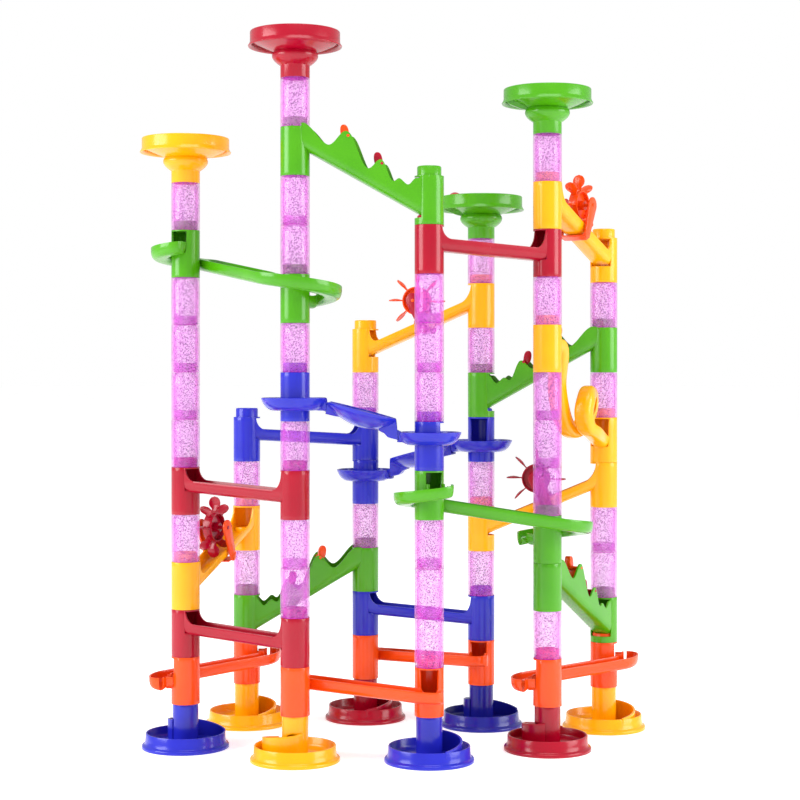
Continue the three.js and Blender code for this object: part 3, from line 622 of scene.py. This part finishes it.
for letter, (start, end, level, clip_colour, wheel_colour) in WHEELS.items():
    direction, link = heading(start, end)
    name = f"wheel_track_{letter}"
    place_track(name, straight_body(link, -PITCH), "yellow", start, end, level)
    axle = np.array(JOINTS[f"wheel_{letter}"]["pos_m"]) / MM
    slope = math.atan2(PITCH + DEPTHS[1] - DEPTHS[0], link)
    lift = AXLE_LIFT / math.cos(slope)
    foot = np.array([-lift * math.sin(slope) * math.cos(slope), -lift * math.cos(slope) ** 2])
    parts = stood(clip(foot, slope), axle[:2], axle[2], direction)
    make(f"clip_{letter}", parts, PLASTIC[clip_colour])
print(len(WHEELS), "wheel tracks with clips")

# %% [markdown]
# Each paddle wheel has eight spoon-shaped blades that stand out from a ring. Seen from the side
# the blades are thin lines, and seen from the front they are round spoons. A blade is a grid in
# distance and width: its half width follows a circle near the tip, and it is cupped in the middle.

# %% Paddle wheels


BLADE_TIP = 33
AXLE_HALF = 17.8


def blade(angle):
    """x = r cos a - cup sin a, z = r sin a + cup cos a, y = width; cup = 1.5 (1 - v^2) sin."""
    r = np.linspace(14, BLADE_TIP, 18)[:, None]
    v = np.linspace(-1, 1, 11)[None]
    spoon = np.sqrt(np.maximum(6.6 ** 2 - (r - 26.4) ** 2, 0))
    half = np.where(r < 26.4, np.maximum(spoon, 3.0), np.maximum(spoon, 0.9))
    cup = 1.5 * (1 - v ** 2) * np.sin(np.pi * np.clip((r - 18) / 15, 0, 1))
    x = r * math.cos(angle) - cup * math.sin(angle)
    z = r * math.sin(angle) + cup * math.cos(angle)
    return wall(np.stack([x + 0 * v, half * v, z + 0 * v], -1), 1.3)


def on_axle(part):
    """A turned part laid over, so that its axis runs along y."""
    points, faces = part
    return outward(points[:, [0, 2, 1]], faces)


def wheel_parts():
    """Eight blades, the ring they stand on, a web, a hub and the axle."""
    parts = [blade(i * math.pi / 4) for i in range(8)]
    rings = [
        [(14.6, -5), (16, -5), (16, 5), (14.6, 5)],
        [(4.8, -0.8), (15, -0.8), (15, 0.8), (4.8, 0.8)],
        [(2.2, -7), (5.2, -7), (5.2, 7), (2.2, 7)],
    ]
    parts += [on_axle(turned(ring, 56)) for ring in rings]
    axle = [(0, -AXLE_HALF), (1.9, -AXLE_HALF), (1.9, AXLE_HALF), (0, AXLE_HALF)]
    return parts + [on_axle(turned(axle, 24, closed=False))]


for letter, (start, end, _, _, colour) in WHEELS.items():
    name = f"wheel_{letter}"
    axle = np.array(JOINTS[name]["pos_m"]) / MM
    direction, _ = heading(start, end)
    make(name, stood(wheel_parts(), axle[:2], axle[2], direction), PLASTIC[colour], name,
         body=name, round_edge=0.25)
print(len(WHEELS), "paddle wheels")

# %% [markdown]
# The slalom tracks are deep lime troughs whose walls rise and dip like waves. The two highest
# crests carry the pins of the swinging flaps. Between the crests and dips the rim follows half a
# cosine wave, which is flat at both ends, so the edge runs smoothly through every one of them.

# %% Slalom tracks
SLALOMS = {"a": (2, 3, 11), "b": (8, 7, 7), "c": (6, 5, 2), "d": (4, 8, 2)}
FAR_SHIFT = 0.03             # how far along the run the far wall's waves stand
WAVE_AT = [0.0, 0.085, 0.24, 0.40, 0.54, 0.65, 0.73, 0.785, 0.835, 0.91, 1.0]
WAVE_UP = [20, 25, 16, 41, 15, 31.5, 16.5, 23, 21, 32, 34]


def eased(x, knots, values):
    """Value between knots: low + (high - low) (1 - cos(pi q)) / 2."""
    knots, values = np.asarray(knots, float), np.asarray(values, float)
    x = np.clip(x, knots[0], knots[-1])
    i = np.clip(np.searchsorted(knots, x) - 1, 0, len(knots) - 2)
    q = (x - knots[i]) / (knots[i + 1] - knots[i])
    return values[i] + (values[i + 1] - values[i]) * (1 - np.cos(np.pi * q)) / 2


for letter, (start, end, level) in SLALOMS.items():
    link = heading(start, end)[1]
    wave = lambda part: eased(part, WAVE_AT, WAVE_UP)
    body = straight_body(link, -PITCH, SLALOM_DEPTHS, wave, FAR_SHIFT)
    place_track(f"slalom_{letter}", body, "green", start, end, level)
print(len(SLALOMS), "slalom tracks")

# %% [markdown]
# A flap hangs from a pin across the slalom: a paddle in the marble's way below, and a rounded
# tongue that leans uphill above. Its colours are orange for the upper one and red for the lower.

# %% Flaps


PIN_HALF = 13.4
PIN_R = 1.5


def leaf(height, width, lean):
    """Rounded tongue outline: a squared ellipse sheared so that its top leans back."""
    a = np.linspace(0, 2 * np.pi, 40, endpoint=False)
    x = width / 2 * np.sign(np.cos(a)) * np.abs(np.cos(a)) ** 0.8
    z = height / 2 * (1 + np.sign(np.sin(a)) * np.abs(np.sin(a)) ** 0.9)
    return np.column_stack([x - lean * z, z])


def flap_parts(hang):
    """Pin along y, tongue above in the plane of the run, paddle below across it."""
    rod = [(0, -PIN_HALF), (PIN_R, -PIN_HALF), (PIN_R, PIN_HALF), (0, PIN_HALF)]
    pin = on_axle(turned(rod, 20, closed=False))
    points, faces = slab(leaf(15, 8.7, 0.12), -3.2, 3.2)
    tongue = outward(points[:, [0, 2, 1]] - [3.2, 0, 2.5], faces)
    a = np.linspace(0, 2 * np.pi, 40, endpoint=False)
    square = np.column_stack([
        8.0 * np.sign(np.cos(a)) * np.abs(np.cos(a)) ** 0.35,
        -hang / 2 + hang / 2 * np.sign(np.sin(a)) * np.abs(np.sin(a)) ** 0.35])
    points, faces = slab(square, -1.0, 1.0)
    paddle = outward(points[:, [2, 0, 1]], faces)
    return [pin, tongue, paddle]


for letter, (start, end, _) in SLALOMS.items():
    for which, hang, colour in (("upper", 25.0, "orange"), ("lower", 16.0, "red")):
        name = f"flap_{letter}_{which}"
        pin = np.array(JOINTS[name]["pos_m"]) / MM
        parts = stood(flap_parts(hang), pin[:2], pin[2], heading(start, end)[0])
        make(name, parts, PLASTIC[colour], name, body=name, round_edge=0.4)
print(2 * len(SLALOMS), "flaps")

# %% [markdown]
# The curving tracks swing round their upper tower, cross over on the line that touches both
# circles, and swing round the lower tower the other way. The trough's ends are closed like a
# boat's bow, and the wall next to each tower is cut down where the coupler's window lets the
# marble through.

# %% Curved tracks
BENDS = {
    "green_curve": dict(start=300, end=112, high_r=26, low_r=37.6, windows=(270, 90)),
    "orange_curve": dict(start=150, end=-35, high_r=28, low_r=28, windows=(115, -65)),
    "orange_wavy": dict(start=120, end=-60, high_r=26, low_r=26, windows=(90, -90)),
}
CURVES = {
    "green_curve_a": (1, 2, 9, 8), "green_curve_b": (3, 4, 4, 3),
    "orange_curve_a": (5, 1, 0, 0), "orange_curve_b": (8, 4, 0, 0),
    "orange_wavy_a": (2, 3, 0, 0), "orange_wavy_b": (7, 6, 0, 0),
}
NARROW = 10.4


def smooth(q):
    """0 to 1 with level ends: q q (3 - 2 q)."""
    q = np.clip(q, 0, 1)
    return q * q * (3 - 2 * q)


def s_path(link, start, end, high_r, low_r):
    """Arc, straight, arc. The straight touches both circles when it leans by
    asin((r1 + r2) / link). Points are then spaced evenly along the whole line."""
    lean = math.degrees(math.asin((high_r + low_r) / link))
    first = np.radians(np.linspace(start, 90 - lean, 90))
    second = np.radians(np.linspace(-90 - lean, end, 90))
    line = np.concatenate([
        np.column_stack([high_r * np.cos(first), high_r * np.sin(first)]),
        np.column_stack([link + low_r * np.cos(second), low_r * np.sin(second)])])
    run = np.concatenate([[0], np.cumsum(np.linalg.norm(np.diff(line, axis=0), axis=1))])
    even = np.linspace(0, run[-1], 220)
    return np.column_stack([np.interp(even, run, line[:, 0]), np.interp(even, run, line[:, 1])]), even


def curved_body(link, drop, start, end, high_r, low_r, windows):
    """Couplers with windows to the side, the curving trough and a short bridge at each."""
    path, run = s_path(link, start, end, high_r, low_r)
    part = run / run[-1]
    high_floor, low_floor = PITCH - DEPTHS[0], drop + PITCH - DEPTHS[1]
    floor_z = high_floor + (low_floor - high_floor) * part
    about_high = np.arctan2(path[:, 1], path[:, 0])
    about_low = np.arctan2(path[:, 1], path[:, 0] - link)
    gap_high = np.degrees(angle_gap(about_high, math.radians(windows[0])))
    gap_low = np.degrees(angle_gap(about_low, math.radians(windows[1])))
    cut_right = smooth((34 - gap_high) / 16) * (part < 0.5)
    cut_left = smooth((28 - gap_low) / 12) * (part > 0.5)
    to_end = np.minimum(run, run[-1] - run)
    bow = np.sqrt(np.clip(1 - (1 - to_end / NARROW) ** 2, 0.07, 1))
    bow = np.where(to_end < NARROW, bow, 1)
    body = trough(path, floor_z, RIM * (1 - cut_left), RIM * (1 - cut_right), NARROW * bow)
    parts = coupler(windows[0], high_floor, 38)
    parts += stood(coupler(windows[1], low_floor - drop, 38, closed=False), (link, 0), drop)
    for (x, angle, reach, z) in ((0, windows[0], high_r - 8, high_floor),
                                 (link, windows[1], low_r - 8, low_floor)):
        out = np.linspace(12.5, reach, 8)
        line = np.column_stack([out, 0 * out])
        rims = np.full(8, RIM)
        parts += stood([trough(line, np.full(8, z), rims, rims, 9.4)], (x, 0), 0, math.radians(angle))
    return parts + [body]


for name, (start, end, high, low) in CURVES.items():
    bend = BENDS[name.rsplit("_", 1)[0]]
    body = curved_body(heading(start, end)[1], PITCH * (low - high), **bend)
    place_track(name, body, name.split("_")[0], start, end, high)
print(len(CURVES), "curved tracks")

# %% [markdown]
# A dish track is three pans in a row: a ring round the upper tower, a deep bowl with two curled
# dividers in the middle, and a shallow dish round the lower tower. Each pan is a turned profile
# whose rim dips where the marble comes in or goes out, with a short trough through each dip. The
# bowl leans downhill, so that its rim meets both neighbours.

# %% Dish tracks
BOWL_TILT = 0.25
DISHES = {"dish_track_a": (2, 3, 6), "dish_track_b": (7, 6, 5)}


def pan(profile, floor_z, dips, inner=16.0, tilt=0.0):
    """A turned sheet: x = r cos a, y = r sin a, z = profile - tilt x. Towards each dip the
    height over the dip's level shrinks to nothing, more so the further out from `inner`."""
    profile = np.asarray(profile, float)
    a = np.linspace(0, 2 * np.pi, 144, endpoint=False)
    z = np.repeat(profile[:, 1:], a.size, axis=1)
    outer = smooth((profile[:, :1] - inner) / 12)
    for angle, half, level in dips:
        gap = np.degrees(angle_gap(a, math.radians(angle)))
        z = z - np.maximum(z - level, 0) * (1 - smooth((gap - half) / 12)) * outer
    x = profile[:, :1] * np.cos(a)
    grid = np.stack([x, profile[:, :1] * np.sin(a), floor_z - 2 + z - tilt * x], -1)
    return wall(grid, WALL_T, around=True)


def divider(sign, floor_z):
    """A curled wall in the bowl: y = sign (9 + 5 sin(pi x / 24)), from the bowl's floor up."""
    x = np.linspace(-24, 24, 40)
    y = sign * (9 + 5 * np.sin(np.pi * x / 24 * sign))
    foot = 17 * (np.hypot(x, y) / 36.5) ** 2.4
    v = np.linspace(0, 1, 5)[:, None]
    z = floor_z - 1 - BOWL_TILT * x + foot + v * (15 - foot)
    return wall(np.stack([x + 0 * z, y + 0 * z, z], -1), 1.5)


def dish_body(link, drop):
    """Couplers, three pans, two dividers and two passages."""
    high_floor, low_floor = PITCH - DISH_DEPTHS[0], drop + PITCH - DISH_DEPTHS[1]
    middle = (high_floor + low_floor) / 2
    ring = [(15, 1.5), (18, 0.3), (21, 0), (24, 0.4), (27, 1.6), (30, 4), (32.4, 7.2), (34, 10.4),
            (34.6, 12), (34.8, 13)]
    dish = [(15, 1.5), (18, 0.3), (20, 0), (23, 0.5), (26, 2), (28.6, 4.4), (30.6, 7.4), (32, 10.4),
            (32.6, 12), (32.8, 13)]
    r = np.linspace(0.4, 36.5, 22)
    bowl = np.column_stack([r, 15 * (r / 36.5) ** 2.2])
    bowl = np.concatenate([bowl, [(37.2, 16.4), (37.6, 17.8)]])
    parts = coupler(90, high_floor, 40)
    parts += stood(coupler(0, PITCH - DISH_DEPTHS[1], 40, closed=False), (link, 0), drop)
    parts.append(pan(ring, high_floor, [(0, 14, 0)]))
    parts += stood([pan(bowl, middle, [(180, 12, 5), (0, 12, -3)], tilt=BOWL_TILT)], (link / 2, 0))
    parts += stood([pan(dish, low_floor, [(180, 14, 3)])], (link, 0))
    parts += stood([divider(1, middle), divider(-1, middle)], (link / 2, 0))
    for begin, stop, high, low in ((28, link / 2 - 20, high_floor, middle + 10),
                                   (link / 2 + 17, link - 22, middle - 3, low_floor)):
        run = np.linspace(begin, stop, 16)
        rims = np.full(16, 8.0)
        line = np.column_stack([run, 0 * run])
        parts.append(trough(line, np.linspace(high, low, 16), rims, rims, 9.4))
    return parts


for name, (start, end, level) in DISHES.items():
    body = dish_body(heading(start, end)[1], -PITCH)
    place_track(name, body, "blue", start, end, level)
print(len(DISHES), "dish tracks")

# %% [markdown]
# The loop track drops two levels, and on the way the chute turns once round in the air. The
# channel tips with its path, so the section is carried along a frame that turns: `up` is always
# square to the direction of travel and to the sideways direction, even upside down.

# %% Loop track


def through(guides, count):
    """A smooth line through the guides: cubic Hermite spans, with knots spaced by the square
    root of the distance, which keeps it from overshooting at short spans."""
    g = np.asarray(guides, float)
    t = np.concatenate([[0], np.cumsum(np.sqrt(np.linalg.norm(np.diff(g, axis=0), axis=1)))])
    slope = np.gradient(g, t, axis=0)
    x = np.linspace(0, t[-1], count)
    i = np.clip(np.searchsorted(t, x) - 1, 0, len(t) - 2)
    h = (t[i + 1] - t[i])[:, None]
    q = (x - t[i])[:, None] / h
    return ((1 + 2 * q) * (1 - q) ** 2 * g[i] + q * (1 - q) ** 2 * h * slope[i]
            + q * q * (3 - 2 * q) * g[i + 1] + q * q * (q - 1) * h * slope[i + 1])


def tipped_trough(route, half, depth):
    """point = route + side * y + rise * up, with up = ahead x sideways."""
    ahead = np.gradient(route, axis=0)
    ahead /= np.linalg.norm(ahead, axis=1, keepdims=True)
    sideways = np.array([0.0, 1.0, 0.0])
    up = np.cross(ahead, sideways)
    up /= np.linalg.norm(up, axis=1, keepdims=True)
    side, drop = section()
    rise = (depth + 2) * (1 - drop) - 2
    sheet = (route[:, None, :] + half * side[None, :, None] * sideways
             + rise[None, :, None] * up[:, None, :])
    return wall(sheet, -WALL_T)


def loop_body(link, drop, radius=27.0, shift=12.0):
    """A steep chute, one upright turn that moves sideways past itself, and the run-out."""
    high_floor, low_floor = PITCH - DEPTHS[0], drop + PITCH - DEPTHS[1]
    middle, bottom = link * 0.6, low_floor + 12
    centre = bottom + radius
    guides = [(8, 0, high_floor), (TUBE_R + 8, 1, high_floor - 4),
              (middle * 0.48, shift, centre + 24), (middle * 0.7, shift, bottom + 12)]
    turn = np.linspace(-np.pi / 2, 1.5 * np.pi, 9)
    move = shift - 2 * shift * np.minimum(np.arange(9) / 5, 1)
    ring = np.column_stack([middle + radius * np.cos(turn), move, centre + radius * np.sin(turn)])
    guides += [tuple(point) for point in ring]
    guides += [(link - TUBE_R - 8, -shift * 0.35, low_floor + 3), (link - 8, 0, low_floor)]
    parts = coupler(0, high_floor, 46)
    parts += stood(coupler(180, low_floor - drop, 46, closed=False), (link, 0), drop)
    return parts + [tipped_trough(through(guides, 260), 10.0, 10.0)]


body = loop_body(heading(4, 8)[1], -2 * PITCH)
place_track("loop_track", body, "yellow", 4, 8, 7)
print("loop track")

# %% [markdown]
# A tower stands on a round foot with a tray. The marble leaves the column by an arched window and
# a spiral guard wall leads it down to the rim. The column is a grid whose lower edge rises into
# the arch. The tray is one turned profile with a flange, a stepped wall and a lip.

# %% Bases
BASES = {
    1: ("blue", 160), 2: ("yellow", -95), 3: ("blue", 80), 4: ("red", -150),
    5: ("yellow", 80), 6: ("red", 60), 7: ("navy", 160), 8: ("yellow", 80),
}
TRAY = [
    (12.5, 0), (46, 0), (46, 2.6), (45.2, 3.8), (43.4, 4.2), (42.7, 5.2), (42.4, 9), (42.2, 9.6),
    (42.0, 15), (41.5, 16), (40.5, 16), (40.0, 15), (39.4, 9), (38.6, 7), (36.5, 6), (12.5, 6),
]


def column(window):
    """z runs from a lower edge up to the shoulder; inside the window the edge is an arch."""
    a = np.linspace(0, 2 * np.pi, 144, endpoint=False)
    gap = np.degrees(angle_gap(a, math.radians(window)))
    arch = 22 + 7 * np.sqrt(np.clip(1 - (gap / 42) ** 2, 0, 1))
    low = np.where(gap < 42, arch, 6.0)
    z = low + np.linspace(0, 1, 12)[:, None] * (BASE_TOP - low)
    sheet = np.stack([13.5 * np.cos(a) + 0 * z, 13.5 * np.sin(a) + 0 * z, z], -1)
    return wall(sheet, 1.8, around=True)


def guard(window):
    """A wall on a spiral: angle = window + 42 - 190 p, radius 13 to 40, top 30 down to 17."""
    p = np.linspace(0, 1, 60)
    a = np.radians(window + 42 - 190 * p)
    r = 13 + 27.5 * p
    top = 30 - 13 * p + 2.5 * np.sin(np.pi * p)
    z = 5.5 + np.linspace(0, 1, 8)[:, None] * (top - 5.5)
    return wall(np.stack([r * np.cos(a) + 0 * z, r * np.sin(a) + 0 * z, z], -1), 1.9)


for tower, (colour, window) in BASES.items():
    cap = turned([(0, 0.2), (13, 0.2), (13, 6), (0, 6)], 48, closed=False)
    parts = [turned(TRAY, 120), cap, column(window), guard(window), spigot(BASE_TOP, 13.5)]
    name = f"base_{tower}"
    make(name, stood(parts, AXES[tower]), PLASTIC[colour], name)
print(len(BASES), "bases")

# %% [markdown]
# A funnel gathers marbles at the top of a tower. Under a flared lip and a low rim its floor winds
# down like a spiral stair with one vertical step, and below that a round bell hides the throat.
# The spiral is the same cone everywhere, lowered a little more with every degree of turn.

# %% Funnels
FUNNELS = {1: (10, "yellow", 0), 2: (12, "red", 0), 4: (11, "green", 180), 7: (9, "green", 180)}
RIM_PROFILE = [
    (43.8, 36), (44.3, 46.8), (44.8, 47.5), (45.6, 47.5), (46, 46.8), (46, 37),
    (46.8, 34.6), (48, 33), (47.6, 32), (45.2, 33), (43.8, 34.4),
]


def bell():
    """A neck that swells to a bulge: r = 15 + 8.6 sin over the height from 13 to 29."""
    z = np.linspace(13, 28.5, 16)
    r = 15 + 8.6 * np.sin(np.pi * (z - 13) / 20) ** 0.9
    outside = np.column_stack([r, z])
    return turned(np.concatenate([[(TUBE_R, PLAY)], outside, [(19, 29), (12.8, 21), (12.8, PLAY)]]), 80)


def winding_floor(step):
    """Cone with a turn in it: z = cone(r) + 3 - 6 t, where t is the share of a turn from the
    step. The last column joins the first, and that join is the vertical step."""
    t = np.linspace(0, 1, 120)
    a = math.radians(step) + 2 * np.pi * t * 0.997
    r = np.linspace(11, 45, 20)[:, None]
    cone = np.interp(r, [11, 24, 45], [22, 28.5, 37])
    wind = np.clip((r - 14) / 14, 0, 1) * (2.5 - 5 * t)
    sheet = np.stack([r * np.cos(a), r * np.sin(a), cone + wind * (1 - np.clip((r - 40) / 5, 0, 1))], -1)
    return wall(sheet, 1.8, around=True)


for tower, (level, colour, step) in FUNNELS.items():
    parts = [bell(), winding_floor(step), turned(RIM_PROFILE, 120)]
    name = f"funnel_{tower}"
    make(name, stood(parts, AXES[tower], level_z(level + 1)), PLASTIC[colour], name)
print(len(FUNNELS), "funnels")

# %% [markdown]
# One polished red marble rests in a green funnel. It is a sphere, but polished stone has depth: a
# hard clear coat over colour that swirls from light to dark.

# %% Marble


def swirled_red():
    """Two reds mixed by a warped noise, under a clear coat."""
    made = plastic("marble_red_glass", (206, 28, 44), (150, 8, 24))
    nodes = made.node_tree.nodes
    for node in nodes:
        if node.bl_idname == "ShaderNodeTexNoise" and node.inputs["Scale"].default_value == 22:
            node.inputs["Scale"].default_value = 90
            node.inputs["Distortion"].default_value = 2.5
    shader = nodes["Principled BSDF"]
    shader.inputs["Coat Weight"].default_value = 1.0
    shader.inputs["Coat Roughness"].default_value = 0.02
    return made


low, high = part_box("marble")
centre = np.array((low + high) / 2) / MM
latitude = np.linspace(-np.pi / 2, np.pi / 2, 49)
ball = turned(np.column_stack([8 * np.cos(latitude), 8 * np.sin(latitude)]), 64, closed=False)
make("marble", stood([ball], centre[:2], centre[2]), swirled_red(), "marble",
     body="marble", round_edge=0)
print("marble at", centre.round(1))
